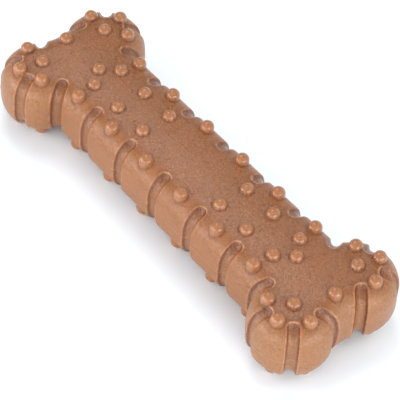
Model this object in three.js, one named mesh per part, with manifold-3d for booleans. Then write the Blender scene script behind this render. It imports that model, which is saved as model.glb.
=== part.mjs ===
// Dog chew bone: two moulded halves, closed over a bone-shaped core.
// Millimetres, +Z up. The bone lies along X on the tips of its lower nubs, and the
// origin is on the ground under its middle. Sections are worked out from the seam, at z = 0.

import * as THREE from 'three';
import { mergeVertices } from 'three/addons/utils/BufferGeometryUtils.js';
import Module from 'manifold-3d';

const wasm = await Module();
wasm.setup();

// Plan outline at the seam
const SHAFT_HALF_WIDTH = 20.2;
const KNUCKLE_RADIUS = 16.5;
const KNUCKLE_X = 75.4; // knuckle centre, from the middle of the bone
const KNUCKLE_Y = 15.2; // knuckle centre, from the long axis
const NECK_RADIUS = 6; // hollow between the shaft and a knuckle
const SADDLE_RADIUS = 15; // hollow between the two knuckles of one end

// Cross-section, from the seam up and again from the seam down
const FACE_HEIGHT = 13; // seam to flat face
const SIDE_HEIGHT = 3; // upright part of the side
const SHOULDER_WIDTH = 10; // rounding from the side to the face, in plan

// Nubs: short posts with a domed head and a small flat tip
const NUB_RADIUS = 2.5;
const NUB_HEIGHT = 2.8; // above the flat face
const NUB_TIP_RADIUS = 0.9;

// Places of the nubs
const NUB_PITCH = 21; // along the edge of the shaft
const EDGE_NUB_INSET = 5.4; // edge row, in from the outline of the shaft
const INNER_NUB_Y = 6.5; // the two inner rows, from the long axis
const INNER_NUB_PITCH = 15.1;
const INNER_NUB_COUNT = 3; // in each inner row, on each side of the bare middle
const INNER_NUB_GAP = 5.3; // last inner nub, in from the neck groove
const NECK_NUB_GAP = 16.3; // lone nub of the neck, in from the knuckle centres
const SADDLE_NUB_GAP = 7.6; // lone nub of the saddle, in from the outline
const RING_NUB_INSET = 7.1; // ring round each knuckle, in from the outline
const RING_NUB_ANGLES = [2, 78, 142]; // degrees from the outward end towards the outer side

// Grooves over the sides, from one face to the other
const GROOVE_RADIUS = 2.6;
const GROOVE_DEPTH = 2;
const GROOVE_REACH = 5.3; // centre of the round end, in from the outline
const GROOVE_END_RADIUS = 2.9; // round pocket at each end
const NECK_GROOVE_ANGLE = -60; // degrees round the neck hollow, from the outward end
const KNUCKLE_GROOVE_ANGLES = [-34, 40, 110]; // degrees, as for the ring of nubs

// Core and the pegs that hold the three pieces together
const FACE_WALL = 7; // over the core
const SIDE_WALL = 8.5; // round the core
const CLEARANCE = 0.3;
const PEG_RADIUS = 3;
const PEG_REACH = 3; // into the upper half, beyond the core
const PEG_ROOT = 2; // into the lower half, below the core
const PEG_GAP = 28; // pegs on the long axis, in from the knuckle centres

// Fineness of the curved surfaces
// A hollow and the knuckle arc beside it turn by the same angle, so their steps differ:
// equal ones would put the corner where they meet on a straight line.
const SADDLE_STEPS = 3;
const KNUCKLE_STEPS = [2, 6, 4]; // saddle to end, end to outer side, outer side to neck
const NECK_STEPS = 3;
const SHOULDER_STEPS = 4;
const ROUND_SIDES = 8;
const BALL_RINGS = 4;
const GROOVE_STEPS = 6;
const PEG_SIDES = 16;

const QUARTER = Math.PI / 2;
const SIGNS = [-1, 1];

// Centres of the hollows, from the circles that they touch
const shoulderHeight = FACE_HEIGHT - SIDE_HEIGHT;
const knuckle = new THREE.Vector2(KNUCKLE_X, KNUCKLE_Y);
const neck = new THREE.Vector2(0, SHAFT_HALF_WIDTH + NECK_RADIUS);
neck.x = knuckle.x - Math.sqrt((KNUCKLE_RADIUS + NECK_RADIUS) ** 2 - (neck.y - knuckle.y) ** 2);
const saddle = new THREE.Vector2(0, 0);
saddle.x = knuckle.x + Math.sqrt((KNUCKLE_RADIUS + SADDLE_RADIUS) ** 2 - knuckle.y ** 2);
const saddleX = saddle.x - SADDLE_RADIUS;
const [neckGrooveX] = neckPoint(NECK_GROOVE_ANGLE, 0);
const coreHalfHeight = FACE_HEIGHT - FACE_WALL;
const restHeight = FACE_HEIGHT + NUB_HEIGHT;

function toSolid(geometry) {
  const bare = geometry.clone();
  bare.deleteAttribute('normal');
  bare.deleteAttribute('uv');
  const merged = mergeVertices(bare);
  return new wasm.Manifold(new wasm.Mesh({
    numProp: 3,
    vertProperties: new Float32Array(merged.attributes.position.array),
    triVerts: new Uint32Array(merged.index.array),
  }));
}

function toGeometry(solid) {
  const mesh = solid.getMesh();
  const geometry = new THREE.BufferGeometry();
  geometry.setAttribute('position', new THREE.BufferAttribute(mesh.vertProperties, 3));
  geometry.setIndex(new THREE.BufferAttribute(mesh.triVerts, 1));
  geometry.computeVertexNormals();
  return geometry;
}

function joinAll(solids) {
  return solids.reduce((whole, next) => whole.add(next));
}

// Points of one quarter, repeated in the others. One on the long axis has a copy at the other end only.
function mirrored(points) {
  return points.flatMap(([x, y]) => (
    SIGNS.flatMap((end) => (y === 0 ? [1] : SIGNS).map((side) => [end * x, side * y]))
  ));
}

// Plan outline

function arcPoints(centre, radius, from, to, steps) {
  return Array.from({ length: steps + 1 }, (_, i) => {
    const angle = from + ((to - from) * i) / steps;
    return new THREE.Vector2(centre.x + radius * Math.cos(angle), centre.y + radius * Math.sin(angle));
  });
}

// One quarter of the outline, from the end of the long axis round to the shaft.
function quarterOutline(inset) {
  const radius = KNUCKLE_RADIUS - inset;
  const toSaddle = Math.atan2(saddle.y - knuckle.y, saddle.x - knuckle.x);
  const toNeck = Math.atan2(neck.y - knuckle.y, neck.x - knuckle.x);
  const turns = [toSaddle, 0, QUARTER, toNeck];
  const round = KNUCKLE_STEPS.flatMap((steps, i) => (
    arcPoints(knuckle, radius, turns[i], turns[i + 1], steps).slice(1)
  ));
  return [
    ...arcPoints(saddle, SADDLE_RADIUS + inset, Math.PI, Math.PI + toSaddle, SADDLE_STEPS),
    ...round,
    ...arcPoints(neck, NECK_RADIUS + inset, toNeck - Math.PI, -QUARTER, NECK_STEPS).slice(1),
  ];
}

function outline(inset) {
  const quarter = quarterOutline(inset);
  const flip = (points, sx, sy) => points.map((p) => new THREE.Vector2(sx * p.x, sy * p.y));
  const back = [...quarter].reverse();
  return new THREE.Shape([
    ...quarter,
    ...flip(back, -1, 1),
    ...flip(quarter, -1, -1).slice(1),
    ...flip(back, 1, -1).slice(0, -1),
  ]);
}

function prism(shape, halfHeight) {
  const geometry = new THREE.ExtrudeGeometry(shape, { depth: 2 * halfHeight, bevelEnabled: false });
  return toSolid(geometry.translate(0, 0, -halfHeight));
}

function bareBody() {
  const geometry = new THREE.ExtrudeGeometry(outline(0), {
    depth: 2 * SIDE_HEIGHT,
    bevelThickness: shoulderHeight,
    bevelSize: SHOULDER_WIDTH,
    bevelOffset: -SHOULDER_WIDTH,
    bevelSegments: SHOULDER_STEPS,
  });
  return toSolid(geometry.translate(0, 0, -SIDE_HEIGHT));
}

// Plan point at a station of the shaft or neck, that far in from the outline.
function shaftPoint(x, inset) {
  const past = Math.abs(x) - neck.x;
  if (past <= 0) return [x, SHAFT_HALF_WIDTH - inset];
  const radius = NECK_RADIUS + inset;
  return [x, neck.y - Math.sqrt(Math.max(radius ** 2 - past ** 2, 0))];
}

// Plan point round a centre, at an angle from the outward end towards the outer side.
function roundPoint(centre, radius, degrees) {
  const angle = THREE.MathUtils.degToRad(degrees);
  return [centre.x + radius * Math.cos(angle), centre.y + radius * Math.sin(angle)];
}

function knucklePoint(degrees, inset) {
  return roundPoint(knuckle, KNUCKLE_RADIUS - inset, degrees);
}

function neckPoint(degrees, inset) {
  return roundPoint(neck, NECK_RADIUS + inset, degrees);
}

// Nubs

function nubPlaces() {
  const edge = [];
  for (let x = NUB_PITCH / 2; x < neckGrooveX - GROOVE_RADIUS - NUB_RADIUS; x += NUB_PITCH) {
    edge.push(shaftPoint(x, EDGE_NUB_INSET));
  }
  const inner = Array.from({ length: INNER_NUB_COUNT }, (_, i) => (
    [neckGrooveX - INNER_NUB_GAP - i * INNER_NUB_PITCH, INNER_NUB_Y]
  ));
  const ring = RING_NUB_ANGLES.map((degrees) => knucklePoint(degrees, RING_NUB_INSET));
  const single = [[KNUCKLE_X - NECK_NUB_GAP, 0], [saddleX - SADDLE_NUB_GAP, 0], [KNUCKLE_X, KNUCKLE_Y]];
  return mirrored([...edge, ...inner, ...ring, ...single]);
}

// The post runs down inside the bone to the level where the shoulder begins.
function nubGeometry() {
  const lastAngle = Math.acos(NUB_TIP_RADIUS / NUB_RADIUS);
  const domeBase = NUB_HEIGHT - NUB_RADIUS * Math.sin(lastAngle);
  const dome = [0, 0.5, 1].map((share) => {
    const angle = share * lastAngle;
    return new THREE.Vector2(NUB_RADIUS * Math.cos(angle), domeBase + NUB_RADIUS * Math.sin(angle));
  });
  const profile = [
    new THREE.Vector2(0, -shoulderHeight),
    new THREE.Vector2(NUB_RADIUS, -shoulderHeight),
    ...dome,
    new THREE.Vector2(0, NUB_HEIGHT),
  ];
  return new THREE.LatheGeometry(profile, ROUND_SIDES).rotateX(QUARTER);
}

function nubs() {
  const nub = nubGeometry();
  const solids = nubPlaces().flatMap(([x, y]) => [
    toSolid(nub.clone().translate(x, y, FACE_HEIGHT)),
    toSolid(nub.clone().rotateX(Math.PI).translate(x, y, -FACE_HEIGHT)),
  ]);
  return joinAll(solids);
}

// Grooves: each follows the side at one place of the outline, from the upper face to the lower one

class GroovePath extends THREE.Curve {
  constructor(placeAt) {
    super();
    this.placeAt = placeAt;
    this.offset = GROOVE_RADIUS - GROOVE_DEPTH;
    this.width = SHOULDER_WIDTH + this.offset;
    this.endAngle = Math.asin(THREE.MathUtils.clamp((SHOULDER_WIDTH - GROOVE_REACH) / this.width, 0, 1));
    const sweep = (QUARTER - this.endAngle) * shoulderHeight;
    this.sideShare = SIDE_HEIGHT / (SIDE_HEIGHT + sweep);
  }

  getPoint(t, target = new THREE.Vector3()) {
    const along = 1 - 2 * t; // 1 at the upper end, 0 at the seam, -1 at the lower end
    const far = Math.abs(along);
    let inset = -this.offset;
    let z = (SIDE_HEIGHT * far) / this.sideShare;
    if (far > this.sideShare) {
      const share = (far - this.sideShare) / (1 - this.sideShare);
      const angle = THREE.MathUtils.lerp(QUARTER, this.endAngle, share);
      inset = SHOULDER_WIDTH - this.width * Math.sin(angle);
      z = SIDE_HEIGHT + (shoulderHeight + this.offset) * Math.cos(angle);
    }
    const [x, y] = this.placeAt(inset);
    return target.set(x, y, along < 0 ? -z : z);
  }
}

// One function for each groove, giving its plan point at a distance in from the outline.
function groovePlaces() {
  const stations = [0];
  for (let x = NUB_PITCH; x < neckGrooveX - NUB_PITCH / 2; x += NUB_PITCH) {
    stations.push(x, -x);
  }
  const shaft = stations.map((x) => (inset) => shaftPoint(x, inset));
  const quarter = [
    (inset) => neckPoint(NECK_GROOVE_ANGLE, inset),
    ...KNUCKLE_GROOVE_ANGLES.map((degrees) => (inset) => knucklePoint(degrees, inset)),
  ];
  const ends = quarter.flatMap((place) => SIGNS.map((end) => (inset) => {
    const [x, y] = place(inset);
    return [end * x, y];
  }));
  return [...shaft, ...ends].flatMap((place) => SIGNS.map((side) => (inset) => {
    const [x, y] = place(inset);
    return [x, side * y];
  }));
}

function groove(placeAt) {
  const path = new GroovePath(placeAt);
  const section = new THREE.Shape().absarc(0, 0, GROOVE_RADIUS, 0, 2 * Math.PI);
  const channel = toSolid(new THREE.ExtrudeGeometry(section, {
    steps: GROOVE_STEPS,
    curveSegments: ROUND_SIDES / 2,
    extrudePath: path,
  }));
  const ends = [0, 1].map((t) => {
    const at = path.getPoint(t);
    const ball = new THREE.SphereGeometry(GROOVE_END_RADIUS, ROUND_SIDES, BALL_RINGS);
    return toSolid(ball.rotateX(QUARTER).translate(at.x, at.y, at.z));
  });
  return joinAll([channel, ...ends]);
}

// Pegs on the lower half, and the holes that they pass through

function pegs(radius, bottom, top) {
  const solids = SIGNS.map((sign) => {
    const geometry = new THREE.CylinderGeometry(radius, radius, top - bottom, PEG_SIDES);
    geometry.rotateX(QUARTER);
    return toSolid(geometry.translate(sign * (KNUCKLE_X - PEG_GAP), 0, (top + bottom) / 2));
  });
  return joinAll(solids);
}

// Everything on one side of the seam, as a box.
function halfSpace(sign) {
  const length = 2 * (KNUCKLE_X + KNUCKLE_RADIUS + CLEARANCE);
  const width = 2 * (KNUCKLE_Y + KNUCKLE_RADIUS + SHAFT_HALF_WIDTH);
  const box = new THREE.BoxGeometry(length, width, 2 * restHeight);
  return toSolid(box.translate(0, 0, sign * restHeight));
}

// The pieces

const pocketHalfHeight = coreHalfHeight + CLEARANCE;
const pegTop = pocketHalfHeight + PEG_REACH;
const grooves = joinAll(groovePlaces().map(groove));
const pocket = prism(outline(SIDE_WALL - CLEARANCE), pocketHalfHeight);
const moulding = bareBody().subtract(grooves).add(nubs()).subtract(pocket);
const sockets = pegs(PEG_RADIUS + CLEARANCE, 0, pegTop + CLEARANCE);
const pegHoles = pegs(PEG_RADIUS + CLEARANCE, -restHeight, restHeight);

const upperHalf = new THREE.Mesh(
  toGeometry(moulding.intersect(halfSpace(1)).subtract(sockets)),
  new THREE.MeshStandardMaterial({ color: 0xb87d58, roughness: 0.48, metalness: 0 }),
);
upperHalf.name = 'upper_half';

const lowerHalf = new THREE.Mesh(
  toGeometry(moulding.intersect(halfSpace(-1)).add(pegs(PEG_RADIUS, -pocketHalfHeight - PEG_ROOT, pegTop))),
  new THREE.MeshStandardMaterial({ color: 0xb87d58, roughness: 0.48, metalness: 0 }),
);
lowerHalf.name = 'lower_half';

const core = new THREE.Mesh(
  toGeometry(prism(outline(SIDE_WALL), coreHalfHeight).subtract(pegHoles)),
  new THREE.MeshStandardMaterial({ color: 0x8a5a3c, roughness: 0.6, metalness: 0 }),
);
core.name = 'core';

const chewBone = new THREE.Group();
chewBone.add(upperHalf, lowerHalf, core);
chewBone.position.z = restHeight;

export default chewBone;
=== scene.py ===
"""Dog chew bone: a tan moulded chew with domed nubs on both faces and round grooves over its sides."""

import math

import bmesh
import bpy
from mathutils import Matrix, Vector


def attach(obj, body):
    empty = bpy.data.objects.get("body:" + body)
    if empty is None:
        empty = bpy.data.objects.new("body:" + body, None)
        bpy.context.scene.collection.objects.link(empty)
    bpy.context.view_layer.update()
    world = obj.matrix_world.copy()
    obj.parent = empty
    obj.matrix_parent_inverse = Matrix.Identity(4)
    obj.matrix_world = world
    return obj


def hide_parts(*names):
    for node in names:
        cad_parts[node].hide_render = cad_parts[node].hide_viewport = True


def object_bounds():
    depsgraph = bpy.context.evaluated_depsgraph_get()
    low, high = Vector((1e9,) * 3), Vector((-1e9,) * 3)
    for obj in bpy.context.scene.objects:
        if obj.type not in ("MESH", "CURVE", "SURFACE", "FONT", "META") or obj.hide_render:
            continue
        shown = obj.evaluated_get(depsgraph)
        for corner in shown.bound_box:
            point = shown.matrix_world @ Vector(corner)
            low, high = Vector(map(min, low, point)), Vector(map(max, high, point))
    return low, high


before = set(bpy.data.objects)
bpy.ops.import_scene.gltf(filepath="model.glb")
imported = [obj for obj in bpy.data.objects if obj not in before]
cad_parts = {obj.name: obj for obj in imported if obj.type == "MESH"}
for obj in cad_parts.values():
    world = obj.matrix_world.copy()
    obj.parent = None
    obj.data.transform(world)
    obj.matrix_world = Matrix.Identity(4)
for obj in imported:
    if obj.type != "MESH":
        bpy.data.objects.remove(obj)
cad_low, cad_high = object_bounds()

MM = 0.001

# Plan outline of the bone, as a quarter that mirrors end to end and side to side
SEAM_Z = (cad_low.z + cad_high.z) / 2
SHAFT_HALF_WIDTH = 20.2 * MM
KNUCKLE_RADIUS = 16.5 * MM
KNUCKLE_X = cad_high.x - KNUCKLE_RADIUS
KNUCKLE_Y = cad_high.y - KNUCKLE_RADIUS
NECK_RADIUS = 6 * MM
SADDLE_RADIUS = 15 * MM

# Section of a half: a rounded square corner that runs out into the flat face
NUB_HEIGHT = 2.8 * MM
FACE_HEIGHT = cad_high.z - SEAM_Z - NUB_HEIGHT
SHOULDER_REACH = 13.6 * MM
SHOULDER_SQUARENESS = 3.05

# Nubs: their shape, then their places, with angles in degrees from the outward end
NUB_RADIUS = 2.7 * MM
NUB_RISE = 2.5 * MM
NUB_TAPER = 0.4
NUB_FOOT = 0.6 * MM
NUB_PITCH = 21 * MM
EDGE_NUB_INSET = 5.4 * MM
INNER_NUB_Y = 6.5 * MM
INNER_NUB_PITCH = 15.1 * MM
INNER_NUB_COUNT = 3
INNER_NUB_GAP = 5.3 * MM
NECK_NUB_GAP = 16.3 * MM
SADDLE_NUB_GAP = 7.6 * MM
RING_NUB_INSET = 7.1 * MM
RING_NUB_ANGLES = (2, 78, 142)

# Grooves, with angles as for the nubs
GROOVE_RADIUS = 2.6 * MM
GROOVE_DEPTH = 1.75 * MM
GROOVE_REACH = 5.9 * MM
GROOVE_RIM = 0.5 * MM
NECK_GROOVE_ANGLE = -60
KNUCKLE_GROOVE_ANGLES = (-34, 40, 110)

# Mould line round the middle, a hair of plastic squeezed out between the halves of the mould
FLASH_HEIGHT = 0.12 * MM
FLASH_DEPTH = 4 * MM
FLASH_PATCHES = 45
FLASH_LEVELS = (0.42, 0.62)

# Pocket for the core, and the pegs that hold the halves together
POCKET_INSET = 8.2 * MM
POCKET_HEIGHT = 6.3 * MM
PEG_RADIUS = 3 * MM
PEG_CLEARANCE = 0.3 * MM
PEG_REACH = 3 * MM
PEG_ROOT = 2 * MM
PEG_GAP = 28 * MM
PEG_X = KNUCKLE_X - PEG_GAP
PEG_SIDES = 32

# Fineness of the meshes
VOXEL = 0.46 * MM
SEAM_MARGIN = 3.5 * VOXEL
TOP_MARGIN = 2 * VOXEL
SLAB_SPAN = 4  # the block that trims a half is this many half lengths long and half widths wide
SURFACE_STEPS = 3
PROBE = 0.02 * MM
POCKET_STEP = math.radians(9)
SHARP_ANGLE = math.radians(65)
TINY = 1e-6  # keeps powers away from zero

# Places that follow from the sizes
NECK_Y = SHAFT_HALF_WIDTH + NECK_RADIUS
NECK_X = KNUCKLE_X - math.sqrt((KNUCKLE_RADIUS + NECK_RADIUS) ** 2 - (NECK_Y - KNUCKLE_Y) ** 2)
SADDLE_X = KNUCKLE_X + math.sqrt((KNUCKLE_RADIUS + SADDLE_RADIUS) ** 2 - KNUCKLE_Y**2)
NECK_GROOVE_X = NECK_X + NECK_RADIUS * math.cos(math.radians(NECK_GROOVE_ANGLE))
LAST_GROOVE_X = NUB_PITCH * math.floor((NECK_GROOVE_X - NUB_PITCH / 2) / NUB_PITCH)
NUB_CENTRE = FACE_HEIGHT + NUB_HEIGHT - NUB_RISE

# Finish of the tan plastic. Each pair is where a mark begins and where it is full.
# Depth under the bare bone, in mm
GROOVE_BEGINS = (0.1, 0.5)
GROOVE_FLOOR = (0.7, 1.4)
RIM_DEPTH = (0.05, 0.4)
# Height over the bare bone, in mm
NUB_BEGINS = (0.4, 1.6)
FOOT_HEIGHT = (0.1, 0.5)
# Distance from the nearest groove or nub, in mm
RIM_WIDTH = (0.05, 0.9)
SHADE_BESIDE_GROOVE_WIDTH = (0.6, 3.5)
FOOT_WIDTH = (0.05, 1.0)
# Distance in from the outline, in mm
GROOVE_END_INSET = (5.6, 7.8)
LIP_INSET = (7.2, 8.2)
SHADE_BESIDE_GROOVE_INSET = (3.0, 6.0)
FACE_INSET = (5.0, 9.0)
SIDE_INSET = (2.0, 8.0)
# Distance from the middle of the bone, and from the seam
KNUCKLE_BEGINS = (52 * MM, 68 * MM)
SEAM_WIDTH = (0.1 * MM, 0.4 * MM)

# Grain of the plastic: patches per metre, detail and roughness of each pattern
CLOUDS = (45.0, 3.0, 0.55)
MOTTLE = (380.0, 4.0, 0.65)
LEATHER = (1250.0, 2.0, 0.6)
GRAIN = (2600.0, 1.0, 0.55)
PITS = (800.0, 1.0, 0.55)
CORE_MOTTLE = (300.0, 3.0, 0.55)
CREASE_CELLS = 620.0
CREASE_WOBBLE = 0.9 * MM

# Levels of a pattern between which its marks come in
CLOUD_LEVELS = (0.3, 0.7)
MOTTLE_LEVELS = (0.3, 0.7)
RIM_LEVELS = (0.3, 0.6)
SEAM_LEVELS = (0.4, 0.6)
FLECK_LEVELS = (0.52, 0.7)
SPECK_LEVELS = (0.55, 0.75)
PALE_LEVELS = (0.55, 0.75)
CREASE_LEVELS = (0.0, 0.2)
PIT_LEVELS = (0.66, 0.74)

# Colours of the plastic, and painted light on its sides
TAN = (0.302, 0.1135, 0.0418, 1)
DULL_TAN = (0.289, 0.1135, 0.0436, 1)
# Painted light: the shaft's sides a deeper tan for painted bounce light, the knuckles' sides paler for a
# painted sheen
SHAFT_SIDE_PAINTED_BOUNCE = (0.26, 0.1, 0.034, 1)
KNUCKLE_SIDE_PAINTED_SHEEN = (0.275, 0.124, 0.0465, 1)
PAINTED_SIDE_LIGHT_SHARE = 0.8
CORE_DARK = (0.2, 0.085, 0.045, 1)
CORE_PALE = (0.27, 0.12, 0.065, 1)

# Colours laid over the tan, in this order: how much of each, and the colour
LAYERS = {
    "mottle": (0.5, (0.3293, 0.1317, 0.0507, 1)),
    "nub": (0.25, (0.38, 0.155, 0.064, 1)),
    # Painted shade beside the grooves
    "painted shade beside groove": (0.55, (0.2, 0.064, 0.02, 1)),
    # Partly edge wear, partly a painted highlight along the groove rims
    "groove rim wear and highlight": (0.75, (0.45, 0.195, 0.083, 1)),
    # Painted shade inside the grooves
    "groove": (0.1, (0.225, 0.07, 0.025, 1)),
    # Painted shade on the groove walls
    "painted groove wall shade": (0.85, (0.15, 0.036, 0.01, 1)),
    # Painted shade in the grooves' end pockets
    "painted groove end shade": (0.5, (0.17, 0.045, 0.014, 1)),
    # Painted shade round the nubs' feet
    "painted nub foot shade": (0.75, (0.16, 0.042, 0.012, 1)),
    # Painted glint at the lip of each groove
    "painted groove lip glint": (0.8, (0.6, 0.3, 0.15, 1)),
    "dark flecks": (1.0, (0.1379, 0.0463, 0.0187, 1)),
    "pale flecks": (0.5, (0.4361, 0.194, 0.0783, 1)),
    "seam": (0.4, (0.42, 0.18, 0.075, 1)),
}

# What the dark flecks are made up of, and how many of them the nubs lose
FLECK_SHARE = 0.5
SPECK_SHARE = 0.4
CREASE_SHARE = 0.35
PIT_SHARE = 0.3
NUB_FLECK_LOSS = 0.5

# Height of the grain, in mm, and how much of it the nubs lose
LEATHER_HEIGHT = 0.12
LEATHER_MORE_ON_FACE = 0.04
LEATHER_MORE_IN_GROOVE = 0.25
GRAIN_HEIGHT = 0.09
MOTTLE_HEIGHT = 0.12
CREASE_DEPTH = 0.03
PIT_DEPTH = 0.12
SEAM_HEIGHT = 0.06
NUB_SMOOTHNESS = 0.75

# Slight crown across the face: reach of its round top in mm, and slope beyond
CROWN_WIDTH = 6.0
CROWN_SLOPE = 0.13

# Gloss of the plastic and of the core
ROUGHNESS = 0.36
FACE_POLISH = 0.12
NUB_POLISH = 0.14
GROOVE_POLISH = 0.1
MOTTLE_ROUGHNESS = 0.08
SPECULAR_LEVEL = 0.42
NUB_COAT = 0.35
GROOVE_COAT = 0.22
KNUCKLE_COAT = 0.14
COAT_ROUGHNESS = 0.25
CORE_ROUGHNESS = 0.5
CORE_MOTTLE_ROUGHNESS = 0.15
CORE_BUMP_STRENGTH = 0.2
CORE_BUMP_HEIGHT = 0.1 * MM

# Floor and surround, in m and in light strength, with the sine of the elevation for the backdrop
FLOOR_SIZE = 6.0
FLOOR_COLOUR = (0.88, 0.945, 1.0, 1)
FLOOR_FADE = (0.1, 0.35)
WORLD_COLOUR = (1, 1, 1, 1)
WORLD_LIGHT = 0.52
BACKDROP_TOP = 0.2
CEILING_FOOT = 0.45
BACKDROP_SHEEN = 1.0
CEILING_SHEEN = 0.1

# Softboxes round the bone: azimuth and elevation in degrees, distance, width and height in m, watts
SOFTBOXES = {
    "left_softbox": (-82, 12, 0.8, 0.8, 0.3, 3.6),
    "right_softbox": (-2, 14, 0.8, 0.8, 0.35, 5.0),
    "side_softbox": (-125, 12, 0.8, 0.4, 0.3, 2.4),
    "back_softbox": (153, 61, 0.9, 0.4, 0.45, 2.8),
    "far_softbox": (95, 35, 0.9, 0.5, 0.4, 1.0),
    "fill_softbox": (-42, 68, 0.9, 0.4, 0.4, 0.6),
    "left_strip": (-121, 48, 0.9, 0.12, 0.45, 0.7),
    "right_strip": (37, 48, 0.9, 0.12, 0.45, 1.0),
}

# Camera, with lens and sensor in mm and angles in degrees
CAMERA_SENSOR = 36.0
CAMERA_LENS = 198.4
CAMERA_TARGET = (8.2 * MM, -2.9 * MM, SEAM_Z)
CAMERA_DISTANCE = 831 * MM
CAMERA_AZIMUTH = -42.26
CAMERA_ELEVATION = 47.99
CAMERA_ROLL = 4.54
CAMERA_CLIP = (0.05, 20.0)


class Signal:
    """A socket that takes part in Python expressions: each operator adds one Math node."""

    def __init__(self, tree, socket):
        self.tree = tree
        self.socket = socket

    def output(self, name):
        return Signal(self.tree, self.socket.node.outputs[name])

    def __add__(self, other):
        return self.tree.math("ADD", self, other)

    def __radd__(self, other):
        return self.tree.math("ADD", other, self)

    def __sub__(self, other):
        return self.tree.math("SUBTRACT", self, other)

    def __rsub__(self, other):
        return self.tree.math("SUBTRACT", other, self)

    def __mul__(self, other):
        return self.tree.math("MULTIPLY", self, other)

    def __rmul__(self, other):
        return self.tree.math("MULTIPLY", other, self)

    def __truediv__(self, other):
        return self.tree.math("DIVIDE", self, other)

    def __rtruediv__(self, other):
        return self.tree.math("DIVIDE", other, self)

    def __pow__(self, power):
        return self.tree.math("POWER", self, power)

    def __neg__(self):
        return self.tree.math("MULTIPLY", self, -1.0)

    def __abs__(self):
        return self.tree.math("ABSOLUTE", self)

    def __gt__(self, other):
        return self.tree.math("GREATER_THAN", self, other)

    def __lt__(self, other):
        return self.tree.math("LESS_THAN", self, other)


class Tree:
    """A node tree under construction, for a shape or for a finish."""

    MIX_COLOURS = ("Factor_Float", "A_Color", "B_Color")

    def __init__(self, tree):
        self.tree = tree

    def node(self, kind, settings=None, sockets=None, output=0):
        """Adds a node: its settings first, then the values or links of its sockets."""
        made = self.tree.nodes.new(kind)
        for name, value in (settings or {}).items():
            setattr(made, name, value)
        for name, value in (sockets or {}).items():
            self.plug(self.find_socket(made, name), value)
        return Signal(self, made.outputs[output])

    @staticmethod
    def find_socket(made, name):
        if isinstance(name, int):
            return made.inputs[name]
        named = [socket for socket in made.inputs if socket.identifier == name]
        return named[0] if named else made.inputs[name]

    def plug(self, socket, value):
        if isinstance(value, (list, tuple)) and isinstance(value[0], Signal):
            for one in value:
                self.plug(socket, one)
        elif isinstance(value, Signal):
            self.tree.links.new(value.socket, socket)
        else:
            socket.default_value = value

    def math(self, operation, *values):
        return self.node("ShaderNodeMath", {"operation": operation}, dict(enumerate(values)))

    def vector(self, operation, *values, output=0):
        return self.node("ShaderNodeVectorMath", {"operation": operation}, dict(enumerate(values)), output)

    def scaled(self, vector, factor):
        return self.node("ShaderNodeVectorMath", {"operation": "SCALE"}, {0: vector, "Scale": factor})

    def length(self, *parts):
        squares = [part * part for part in parts]
        return self.math("SQRT", sum(squares[1:], squares[0]))

    def largest(self, first, *others):
        for other in others:
            first = self.math("MAXIMUM", first, other)
        return first

    def smallest(self, first, *others):
        for other in others:
            first = self.math("MINIMUM", first, other)
        return first

    def choose(self, mask, where_one, where_zero):
        return where_zero + mask * (where_one - where_zero)

    def split(self, vector):
        parts = self.node("ShaderNodeSeparateXYZ", sockets={0: vector})
        return parts, parts.output("Y"), parts.output("Z")

    def join(self, x, y, z):
        return self.node("ShaderNodeCombineXYZ", sockets={0: x, 1: y, 2: z})

    def mix_colour(self, factor, first, second):
        sockets = dict(zip(self.MIX_COLOURS, (factor, first, second)))
        return self.node("ShaderNodeMix", {"data_type": "RGBA"}, sockets, output=2)

    def steps(self, value, low, high):
        """0 below low, 1 above high, with a soft ramp between."""
        settings = {"interpolation_type": "SMOOTHSTEP"}
        return self.node("ShaderNodeMapRange", settings, {"Value": value, "From Min": low, "From Max": high})


class ShapeTree(Tree):
    """A Geometry Nodes tree with named inputs and outputs."""

    SOCKETS = {
        "geometry": "NodeSocketGeometry",
        "vector": "NodeSocketVector",
        "number": "NodeSocketFloat",
        "material": "NodeSocketMaterial",
        "object": "NodeSocketObject",
    }

    def __init__(self, name, inputs, outputs):
        super().__init__(bpy.data.node_groups.new(name, "GeometryNodeTree"))
        for label, kind in inputs.items():
            self.tree.interface.new_socket(label, in_out="INPUT", socket_type=self.SOCKETS[kind])
        for label, kind in outputs.items():
            self.tree.interface.new_socket(label, in_out="OUTPUT", socket_type=self.SOCKETS[kind])
        entry = self.tree.nodes.new("NodeGroupInput")
        self.given = {label: Signal(self, entry.outputs[label]) for label in inputs}
        self.end = self.tree.nodes.new("NodeGroupOutput")

    def give(self, label, signal):
        self.tree.links.new(signal.socket, self.end.inputs[label])


BONE_SIZES = {
    "Seam height": SEAM_Z,
    "Shaft half width": SHAFT_HALF_WIDTH,
    "Knuckle radius": KNUCKLE_RADIUS,
    "Knuckle X": KNUCKLE_X,
    "Knuckle Y": KNUCKLE_Y,
    "Neck radius": NECK_RADIUS,
    "Neck X": NECK_X,
    "Neck Y": NECK_Y,
    "Saddle radius": SADDLE_RADIUS,
    "Saddle X": SADDLE_X,
    "Face height": FACE_HEIGHT,
    "Shoulder reach": SHOULDER_REACH,
    "Shoulder squareness": SHOULDER_SQUARENESS,
    "Groove pitch": NUB_PITCH,
    "Last shaft groove": LAST_GROOVE_X,
    "Groove radius": GROOVE_RADIUS,
    "Groove depth": GROOVE_DEPTH,
    "Groove reach": GROOVE_REACH,
    "Groove rim": GROOVE_RIM,
    "Nub radius": NUB_RADIUS,
    "Nub rise": NUB_RISE,
    "Nub taper": NUB_TAPER,
    "Nub centre": NUB_CENTRE,
    "Nub foot": NUB_FOOT,
    "Flash height": FLASH_HEIGHT,
}


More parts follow.
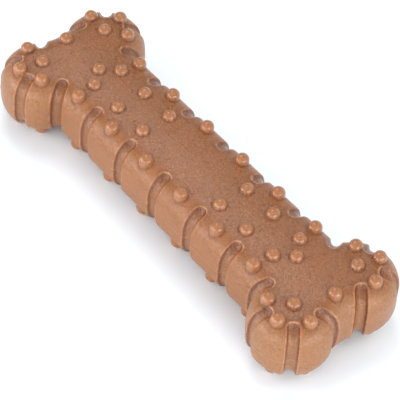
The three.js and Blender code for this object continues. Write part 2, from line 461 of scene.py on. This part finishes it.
def outline_inset(t, x, y):
    """How far in from the plan outline a point of the first quarter lies."""
    size = t.given
    knuckle_x, knuckle_y = x - size["Knuckle X"], y - size["Knuckle Y"]
    neck_x, neck_y = x - size["Neck X"], y - size["Neck Y"]
    saddle_x = x - size["Saddle X"]
    neck_to_knuckle_x = size["Knuckle X"] - size["Neck X"]
    neck_to_knuckle_y = size["Knuckle Y"] - size["Neck Y"]
    by_neck = neck_to_knuckle_x * neck_y < neck_to_knuckle_y * neck_x
    saddle_to_knuckle_x = size["Knuckle X"] - size["Saddle X"]
    by_saddle = saddle_to_knuckle_x * y > size["Knuckle Y"] * saddle_x
    in_knuckle = size["Knuckle radius"] - t.length(knuckle_x, knuckle_y)
    from_saddle = t.choose(by_saddle, t.length(saddle_x, y) - size["Saddle radius"], size["Knuckle X"])
    from_neck = t.choose(by_neck, t.length(neck_x, neck_y) - size["Neck radius"], size["Knuckle X"])
    by_hollow = t.largest(by_saddle, by_neck)
    inside = t.choose(by_hollow, t.smallest(from_saddle, from_neck), in_knuckle)
    inside = t.choose(neck_x < 0.0, size["Shaft half width"] - y, inside)
    return inside - size["Flash height"]


def groove_offset(t, x, y):
    """Distance across the nearest groove, in plan."""
    size = t.given
    along_shaft = t.math("PINGPONG", x, size["Groove pitch"] / 2)
    across = [t.largest(along_shaft, x - size["Last shaft groove"])]
    spokes = [("Neck", NECK_GROOVE_ANGLE), *(("Knuckle", degrees) for degrees in KNUCKLE_GROOVE_ANGLES)]
    for centre, degrees in spokes:
        from_x, from_y = x - size[centre + " X"], y - size[centre + " Y"]
        cosine, sine = math.cos(math.radians(degrees)), math.sin(math.radians(degrees))
        outward = from_x * cosine + from_y * sine
        sideways = from_x * sine - from_y * cosine
        across.append(t.length(sideways, t.smallest(outward, 0.0)))
    return t.smallest(*across)


# What the finish is told about a point of the surface, in mm: its height over the bare bone, how far it is
# from the nearest groove and nub, and how far in from the outline
MARKS = {"Relief": "relief", "Groove gap": "groove_gap", "Nub gap": "nub_gap", "Inset": "inset"}


def bone_field():
    """Node group: how far outside the finished surface a point lies, and how far from each of its forms."""
    inputs = {"Nub places": "geometry", "Position": "vector"}
    inputs.update({label: "number" for label in BONE_SIZES})
    t = ShapeTree("Bone field", inputs, {label: "number" for label in ("Distance", *MARKS)})
    size = t.given
    plan_x, plan_y, height = t.split(size["Position"])
    x, y, z = abs(plan_x), abs(plan_y), abs(height - size["Seam height"])

    inset = outline_inset(t, x, y)
    power = size["Shoulder squareness"]
    across_shoulder = t.largest(1.0 - inset / size["Shoulder reach"], TINY) ** power
    up_shoulder = t.largest(z / size["Face height"], TINY) ** power
    bare = ((across_shoulder + up_shoulder) ** (1.0 / power) - 1.0) * size["Face height"]

    past_end = t.largest(inset - size["Groove reach"], 0.0)
    above_path = bare - (size["Groove radius"] - size["Groove depth"])
    tool = t.length(groove_offset(t, x, y), past_end, above_path) - size["Groove radius"]
    grooved = t.math("SMOOTH_MAX", bare, -tool, size["Groove rim"])

    places = {"Geometry": size["Nub places"], "Sample Position": t.join(plan_x, plan_y, 0.0)}
    from_axis = t.node("GeometryNodeProximity", {"target_element": "POINTS"}, places, "Distance")
    up_nub = (z - size["Nub centre"]) / size["Nub rise"]
    up_nub = t.largest(up_nub, up_nub * size["Nub taper"])
    nub = (t.length(from_axis / size["Nub radius"], up_nub) - 1.0) * size["Nub rise"]

    t.give("Distance", t.math("SMOOTH_MIN", grooved, nub, size["Nub foot"]))
    t.give("Relief", bare)
    t.give("Groove gap", tool)
    t.give("Nub gap", nub)
    t.give("Inset", inset)
    return t.tree


def half_bone_tree(field):
    """The upper half: the field's surface, cut flat at the seam, with the pocket for the core."""
    inputs = {"Nub places": "geometry", "Pocket": "object", "Finish": "material"}
    inputs.update({label: "number" for label in BONE_SIZES})
    t = ShapeTree("Half bone", inputs, {"Half": "geometry"})

    def sample(position, output="Distance"):
        sockets = {label: t.given[label] for label in ("Nub places", *BONE_SIZES)}
        return t.node("GeometryNodeGroup", {"node_tree": field}, {**sockets, "Position": position}, output)

    position = t.node("GeometryNodeInputPosition")
    low = Vector((cad_low.x, cad_low.y, SEAM_Z)) - Vector((TOP_MARGIN, TOP_MARGIN, SEAM_MARGIN))
    high = cad_high + Vector((TOP_MARGIN,) * 3)
    counts = [round((high[axis] - low[axis]) / VOXEL) + 1 for axis in range(3)]
    block = t.node("GeometryNodeVolumeCube", sockets={
        "Density": -sample(position),
        "Background": -1.0,
        "Min": low,
        "Max": high,
        "Resolution X": counts[0],
        "Resolution Y": counts[1],
        "Resolution Z": counts[2],
    })
    half = t.node("GeometryNodeVolumeToMesh", sockets={"Volume": block, "Threshold": 0.0})

    def slope():
        here = sample(position)
        probes = [Vector((PROBE, 0, 0)), Vector((0, PROBE, 0)), Vector((0, 0, PROBE))]
        rises = [(sample(t.vector("ADD", position, probe)) - here) / PROBE for probe in probes]
        return here, t.join(*rises)

    for _ in range(SURFACE_STEPS):
        distance, rise = slope()
        steepness = t.vector("DOT_PRODUCT", rise, rise, output="Value")
        step = t.scaled(rise, -distance / steepness)
        near = abs(distance) < VOXEL
        move = {"Geometry": half, "Selection": near, "Offset": step}
        half = t.node("GeometryNodeSetPosition", sockets=move)

    slab_size = SLAB_SPAN * Vector((cad_high.x, cad_high.y, SEAM_MARGIN))
    slab = t.node("GeometryNodeMeshCube", sockets={"Size": slab_size})
    below = Vector((0, 0, SEAM_Z - slab_size.z / 2))
    slab = t.node("GeometryNodeTransform", sockets={"Geometry": slab, "Translation": below})
    pocket = t.node("GeometryNodeObjectInfo", sockets={"Object": t.given["Pocket"]}, output="Geometry")
    cut = {"operation": "DIFFERENCE", "solver": "MANIFOLD"}
    half = t.node("GeometryNodeMeshBoolean", cut, {"Mesh 1": half, "Mesh 2": [slab, pocket]})

    _, _, height = t.split(position)
    on_seam = abs(height - t.given["Seam height"]) < PROBE
    outer = sample(position, "Inset") < FLASH_DEPTH
    _, rise = slope()
    sideways = t.vector("NORMALIZE", t.vector("MULTIPLY", rise, Vector((1, 1, 0))))
    spots = {"Vector": position, "Scale": FLASH_PATCHES}
    patches = t.node("ShaderNodeTexNoise", sockets=spots, output="Fac")
    push = on_seam * outer * t.steps(patches, *FLASH_LEVELS) * t.given["Flash height"]
    step = t.scaled(sideways, push)
    half = t.node("GeometryNodeSetPosition", sockets={"Geometry": half, "Offset": step})

    stored = {"data_type": "FLOAT", "domain": "POINT"}
    for label, name in MARKS.items():
        mark = {"Geometry": half, "Name": name, "Value": sample(position, label) / MM}
        half = t.node("GeometryNodeStoreNamedAttribute", stored, mark)
    half = t.node("GeometryNodeRealizeInstances", sockets={"Geometry": half})
    half = t.node("GeometryNodeSetMaterial", sockets={"Geometry": half, "Material": t.given["Finish"]})
    t.give("Half", half)
    return t.tree


def mirrored(points):
    """Points of one quarter, repeated in the others."""
    signs = (-1, 1)
    return sorted({(end * x, side * y) for x, y in points for end in signs for side in signs})


def on_knuckle(degrees, inset):
    reach = KNUCKLE_RADIUS - inset
    angle = math.radians(degrees)
    return KNUCKLE_X + reach * math.cos(angle), KNUCKLE_Y + reach * math.sin(angle)


def nub_places():
    edge_count = 1 + round(LAST_GROOVE_X / NUB_PITCH)
    edge = [((i + 0.5) * NUB_PITCH, SHAFT_HALF_WIDTH - EDGE_NUB_INSET) for i in range(edge_count)]
    last_inner = NECK_GROOVE_X - INNER_NUB_GAP
    inner = [(last_inner - i * INNER_NUB_PITCH, INNER_NUB_Y) for i in range(INNER_NUB_COUNT)]
    ring = [on_knuckle(degrees, RING_NUB_INSET) for degrees in RING_NUB_ANGLES]
    lone = [
        (KNUCKLE_X - NECK_NUB_GAP, 0.0),
        (SADDLE_X - SADDLE_RADIUS - SADDLE_NUB_GAP, 0.0),
        (KNUCKLE_X, KNUCKLE_Y),
    ]
    return mirrored(edge + inner + ring + lone)


def arc(centre, radius, start, end):
    count = max(2, round(abs(end - start) / POCKET_STEP))
    turns = [start + (end - start) * i / count for i in range(count + 1)]
    return [(centre[0] + radius * math.cos(a), centre[1] + radius * math.sin(a)) for a in turns]


def inset_outline(inset):
    """Closed plan outline, that far in from the edge of the bone."""
    knuckle, neck, saddle = (KNUCKLE_X, KNUCKLE_Y), (NECK_X, NECK_Y), (SADDLE_X, 0.0)
    to_saddle = math.atan2(saddle[1] - knuckle[1], saddle[0] - knuckle[0])
    to_neck = math.atan2(neck[1] - knuckle[1], neck[0] - knuckle[0])
    quarter = [
        *arc(saddle, SADDLE_RADIUS + inset, math.pi, math.pi + to_saddle)[:-1],
        *arc(knuckle, KNUCKLE_RADIUS - inset, to_saddle, to_neck)[:-1],
        *arc(neck, NECK_RADIUS + inset, to_neck - math.pi, -math.pi / 2),
    ]
    upper = quarter + [(-x, y) for x, y in reversed(quarter)]
    return upper + [(x, -y) for x, y in reversed(upper[1:-1])]


def new_piece(name, mesh):
    piece = bpy.data.objects.new(name, mesh)
    bpy.context.scene.collection.objects.link(piece)
    return piece


def prism(name, outline, bottom, top):
    """Closed block over a plan outline."""
    shape = bmesh.new()
    base = shape.faces.new([shape.verts.new((x, y, bottom)) for x, y in outline])
    raised = bmesh.ops.extrude_face_region(shape, geom=[base])["geom"]
    lifted = [item for item in raised if isinstance(item, bmesh.types.BMVert)]
    bmesh.ops.translate(shape, verts=lifted, vec=(0, 0, top - bottom))
    bmesh.ops.recalc_face_normals(shape, faces=shape.faces)
    mesh = bpy.data.meshes.new(name)
    shape.to_mesh(mesh)
    shape.free()
    return new_piece(name, mesh)


def peg_pair(name, radius, bottom, top):
    """Two upright round pegs on the long axis."""
    shape = bmesh.new()
    for end in (-1, 1):
        place = Matrix.Translation((end * PEG_X, 0, (bottom + top) / 2))
        bmesh.ops.create_cone(
            shape, cap_ends=True, segments=PEG_SIDES, radius1=radius, radius2=radius,
            depth=top - bottom, matrix=place,
        )
    mesh = bpy.data.meshes.new(name)
    shape.to_mesh(mesh)
    shape.free()
    return new_piece(name, mesh)


def bake(piece):
    """Works the modifiers of a piece into a plain mesh."""
    seen = piece.evaluated_get(bpy.context.evaluated_depsgraph_get())
    mesh = bpy.data.meshes.new_from_object(seen)
    piece.modifiers.clear()
    piece.data = mesh
    mesh.shade_smooth()
    mesh.set_sharp_from_angle(angle=SHARP_ANGLE)


def joined_by(piece, other, operation):
    """Cuts another shape out of the piece, or adds it, and removes the other shape."""
    change = piece.modifiers.new(operation.lower(), "BOOLEAN")
    change.operation = operation
    change.solver = "MANIFOLD"
    change.object = other
    bake(piece)
    bpy.data.objects.remove(other)


def make_half(name, finish):
    points = bpy.data.meshes.new("nub_places")
    points.from_pydata([(x, y, 0.0) for x, y in nub_places()], [], [])
    half = new_piece(name, points)
    pocket = prism("pocket", inset_outline(POCKET_INSET), SEAM_Z - SEAM_MARGIN, SEAM_Z + POCKET_HEIGHT)
    shape = half.modifiers.new("half bone", "NODES")
    shape.node_group = half_bone_tree(bone_field())
    values = {**BONE_SIZES, "Pocket": pocket, "Finish": finish}
    for item in shape.node_group.interface.items_tree:
        if item.in_out == "INPUT" and item.name in values:
            shape[item.identifier] = values[item.name]
    bake(half)
    bpy.data.objects.remove(pocket)
    return half


def turned_over(half, name):
    """A copy of the half, mirrored in the seam."""
    mesh = half.data.copy()
    flip = Matrix.Translation((0, 0, 2 * SEAM_Z)) @ Matrix.Scale(-1, 4, (0, 0, 1))
    mesh.transform(flip)
    mesh.flip_normals()
    return new_piece(name, mesh)


class FinishTree(Tree):
    """A shader tree for one finish."""

    def __init__(self, name):
        self.finish = bpy.data.materials.new(name)
        self.finish.use_nodes = True
        super().__init__(self.finish.node_tree)
        self.tree.nodes.clear()
        self.place = self.node("ShaderNodeTexCoord", output="Object")

    def noise(self, scale, detail, roughness):
        sockets = {"Vector": self.place, "Scale": scale, "Detail": detail, "Roughness": roughness}
        return self.node("ShaderNodeTexNoise", sockets=sockets, output="Fac")

    def cells(self, scale, wobble):
        """Distance to the nearest edge of a pattern of cells, its lines made to wander."""
        drift = {"Vector": self.place, "Scale": scale / 2}
        wander = self.node("ShaderNodeTexNoise", sockets=drift, output="Color")
        place = self.vector("ADD", self.place, self.scaled(wander, wobble))
        sockets = {"Vector": place, "Scale": scale}
        return self.node("ShaderNodeTexVoronoi", {"feature": "DISTANCE_TO_EDGE"}, sockets, "Distance")

    def mark(self, name):
        return self.node("ShaderNodeAttribute", {"attribute_name": name}, output="Fac")

    def surface(self, shader):
        end = self.tree.nodes.new("ShaderNodeOutputMaterial")
        self.tree.links.new(shader.socket, end.inputs["Surface"])
        return self.finish


def bone_finish():
    t = FinishTree("tan_moulded_plastic")
    x, y, z = t.split(t.place)
    relief, groove_gap, nub_gap, inset = [t.mark(name) for name in MARKS.values()]
    in_groove = t.steps(-relief, *GROOVE_BEGINS)
    # Painted shade on the groove walls
    groove_wall_shade = in_groove * (1.0 - t.steps(-relief, *GROOVE_FLOOR))
    # Painted shade in the pocket at the upper end of each groove
    groove_end_shade = in_groove * t.steps(inset, *GROOVE_END_INSET)
    # Lighter rim along each groove: partly edge wear, partly a painted highlight
    rim = (1.0 - t.steps(groove_gap, *RIM_WIDTH)) * (1.0 - t.steps(-relief, *RIM_DEPTH))
    # Painted glint at the tip of each groove's rim
    lip_glint = rim * t.steps(inset, *LIP_INSET)
    on_nub = t.steps(relief, *NUB_BEGINS)
    # Painted shade on the face and shoulder beside the grooves' ends, kept off the nubs
    shade_beside_groove = (1.0 - t.steps(groove_gap, *SHADE_BESIDE_GROOVE_WIDTH)) * t.steps(inset, *SHADE_BESIDE_GROOVE_INSET) * (1.0 - on_nub)
    # Painted shade round the foot of each nub
    foot = (1.0 - t.steps(nub_gap, *FOOT_WIDTH)) * (1.0 - t.steps(relief, *FOOT_HEIGHT))
    on_face = t.steps(inset, *FACE_INSET) * (1.0 - on_nub)
    on_side = 1.0 - t.steps(inset, *SIDE_INSET)
    by_knuckle = t.steps(abs(x), *KNUCKLE_BEGINS)

    clouds = t.noise(*CLOUDS)
    mottle = t.noise(*MOTTLE)
    leather = t.noise(*LEATHER)
    grain = t.noise(*GRAIN)
    creases = (1.0 - t.steps(t.cells(CREASE_CELLS, CREASE_WOBBLE), *CREASE_LEVELS)) * on_face
    pits = t.steps(t.noise(*PITS), *PIT_LEVELS)
    seam = (1.0 - t.steps(abs(z - SEAM_Z), *SEAM_WIDTH)) * t.steps(clouds, *SEAM_LEVELS)
    flecks = t.steps(leather, *FLECK_LEVELS) * FLECK_SHARE + t.steps(grain, *SPECK_LEVELS) * SPECK_SHARE
    flecks = flecks * (1.0 - on_nub * NUB_FLECK_LOSS)

    masks = {
        "mottle": t.steps(mottle, *MOTTLE_LEVELS),
        "nub": on_nub,
        "painted shade beside groove": shade_beside_groove,
        "groove rim wear and highlight": rim * t.steps(mottle, *RIM_LEVELS),
        # Painted shade inside the grooves
        "groove": in_groove,
        "painted groove wall shade": groove_wall_shade,
        "painted groove end shade": groove_end_shade,
        "painted nub foot shade": foot,
        "painted groove lip glint": lip_glint,
        "dark flecks": flecks + creases * CREASE_SHARE + pits * PIT_SHARE,
        "pale flecks": t.steps(1.0 - leather, *PALE_LEVELS),
        "seam": seam,
    }
    colour = t.mix_colour(t.steps(clouds, *CLOUD_LEVELS), TAN, DULL_TAN)
    # Painted light on the sides: painted bounce light on the shaft, painted sheen on the knuckles
    colour = t.mix_colour(on_side * PAINTED_SIDE_LIGHT_SHARE, colour, t.mix_colour(by_knuckle, SHAFT_SIDE_PAINTED_BOUNCE, KNUCKLE_SIDE_PAINTED_SHEEN))
    for name, (share, tint) in LAYERS.items():
        colour = t.mix_colour(masks[name] * share, colour, tint)

    hide = leather * (LEATHER_HEIGHT + on_face * LEATHER_MORE_ON_FACE + in_groove * LEATHER_MORE_IN_GROOVE)
    raised = hide + grain * GRAIN_HEIGHT + mottle * MOTTLE_HEIGHT
    wrinkles = raised - creases * CREASE_DEPTH - pits * PIT_DEPTH
    crown = t.length(y / MM, CROWN_WIDTH) * -CROWN_SLOPE
    height = wrinkles * (1.0 - on_nub * NUB_SMOOTHNESS) + seam * SEAM_HEIGHT + crown
    polish = on_face * FACE_POLISH + on_nub * NUB_POLISH + in_groove * GROOVE_POLISH
    knuckle_side = on_side * by_knuckle * (1.0 - in_groove)
    shader = t.node("ShaderNodeBsdfPrincipled", sockets={
        "Base Color": colour,
        "Roughness": ROUGHNESS - polish + mottle * MOTTLE_ROUGHNESS,
        "Specular IOR Level": SPECULAR_LEVEL,
        "Coat Weight": on_nub * NUB_COAT + in_groove * GROOVE_COAT + knuckle_side * KNUCKLE_COAT,
        "Coat Roughness": COAT_ROUGHNESS,
        "Normal": t.node("ShaderNodeBump", sockets={"Distance": MM, "Height": height}),
    })
    return t.surface(shader)


def core_finish():
    t = FinishTree("brown_core_plastic")
    mottle = t.noise(*CORE_MOTTLE)
    dents = {"Strength": CORE_BUMP_STRENGTH, "Distance": CORE_BUMP_HEIGHT, "Height": mottle}
    shader = t.node("ShaderNodeBsdfPrincipled", sockets={
        "Base Color": t.mix_colour(mottle, CORE_DARK, CORE_PALE),
        "Roughness": CORE_ROUGHNESS + mottle * CORE_MOTTLE_ROUGHNESS,
        "Normal": t.node("ShaderNodeBump", sockets=dents),
    })
    return t.surface(shader)


def seen_directly(t):
    """1 for the camera, and for what mirrors show."""
    path = t.node("ShaderNodeLightPath", output="Is Camera Ray")
    return t.largest(path, path.output("Is Glossy Ray"), path.output("Is Transmission Ray"))


def floor_finish():
    """Matt and pale round the bone, and plain white to the eye further off."""
    t = FinishTree("pale_floor")
    matt = t.node("ShaderNodeBsdfDiffuse", sockets={"Color": FLOOR_COLOUR})
    white = t.node("ShaderNodeEmission", sockets={"Strength": 1.0})
    x, y, _ = t.split(t.place)
    far_off = t.steps(t.length(x, y), *FLOOR_FADE)
    mixed = {0: far_off * seen_directly(t), 1: matt, 2: white}
    return t.surface(t.node("ShaderNodeMixShader", sockets=mixed))


def make_floor():
    edge = FLOOR_SIZE / 2
    corners = [(-edge, -edge), (edge, -edge), (edge, edge), (-edge, edge)]
    mesh = bpy.data.meshes.new("floor")
    mesh.from_pydata([(x, y, cad_low.z) for x, y in corners], [], [(0, 1, 2, 3)])
    mesh.materials.append(floor_finish())
    floor = new_piece("floor", mesh)


def make_world():
    """White backdrop under a dim ceiling to the eye, and an even soft light on the bone."""
    world = bpy.data.worlds.new("white_surround")
    world.use_nodes = True
    bpy.context.scene.world = world
    t = Tree(world.node_tree)
    t.tree.nodes.clear()
    _, _, rise = t.split(t.node("ShaderNodeTexCoord", output="Generated"))
    backdrop = t.choose(t.steps(rise, BACKDROP_TOP, CEILING_FOOT), CEILING_SHEEN, BACKDROP_SHEEN)
    strength = t.choose(seen_directly(t), backdrop, WORLD_LIGHT)
    white = t.node("ShaderNodeBackground", sockets={"Color": WORLD_COLOUR, "Strength": strength})
    end = t.tree.nodes.new("ShaderNodeOutputWorld")
    t.tree.links.new(white.socket, end.inputs["Surface"])


def direction(azimuth, elevation):
    """Unit vector from the bone, azimuth counted from +X towards +Y, in degrees."""
    turn, lift = math.radians(azimuth), math.radians(elevation)
    return Vector((math.cos(turn) * math.cos(lift), math.sin(turn) * math.cos(lift), math.sin(lift)))


def softbox(name, azimuth, elevation, distance, width, height, watts):
    lamp = bpy.data.lights.new(name, "AREA")
    lamp.shape = "RECTANGLE"
    lamp.size = width
    lamp.size_y = height
    lamp.energy = watts
    holder = bpy.data.objects.new(name, lamp)
    bpy.context.scene.collection.objects.link(holder)
    towards = direction(azimuth, elevation)
    holder.location = Vector((0, 0, SEAM_Z)) + towards * distance
    holder.rotation_euler = towards.to_track_quat("Z", "Y").to_euler()


def make_camera():
    view = bpy.data.cameras.new("camera")
    view.lens = CAMERA_LENS
    view.sensor_width = CAMERA_SENSOR
    view.clip_start, view.clip_end = CAMERA_CLIP
    camera = bpy.data.objects.new("camera", view)
    bpy.context.scene.collection.objects.link(camera)
    back = direction(CAMERA_AZIMUTH, CAMERA_ELEVATION)
    camera.location = Vector(CAMERA_TARGET) + back * CAMERA_DISTANCE
    level = back.to_track_quat("Z", "Y").to_matrix()
    camera.rotation_euler = (level @ Matrix.Rotation(math.radians(CAMERA_ROLL), 3, "Z")).to_euler()
    bpy.context.scene.camera = camera


bone_plastic = bone_finish()
upper_half = make_half("upper_half_moulding", bone_plastic)
lower_half = turned_over(upper_half, "lower_half_moulding")
peg_top = SEAM_Z + POCKET_HEIGHT + PEG_REACH
sockets = peg_pair("sockets", PEG_RADIUS + PEG_CLEARANCE, SEAM_Z, peg_top + PEG_CLEARANCE)
joined_by(upper_half, sockets, "DIFFERENCE")
pegs = peg_pair("pegs", PEG_RADIUS, SEAM_Z - POCKET_HEIGHT - PEG_ROOT, peg_top)
joined_by(lower_half, pegs, "UNION")
for piece, node in ((upper_half, "upper_half"), (lower_half, "lower_half")):
    piece.data.materials.clear()
    piece.data.materials.append(bone_plastic)
    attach(piece, "root")
    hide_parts(node)

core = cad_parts["core"]
core.data.materials.clear()
core.data.materials.append(core_finish())

make_floor()
make_world()
for name, placing in SOFTBOXES.items():
    softbox(name, *placing)
make_camera()

bpy.context.scene.view_settings.view_transform = "Standard"
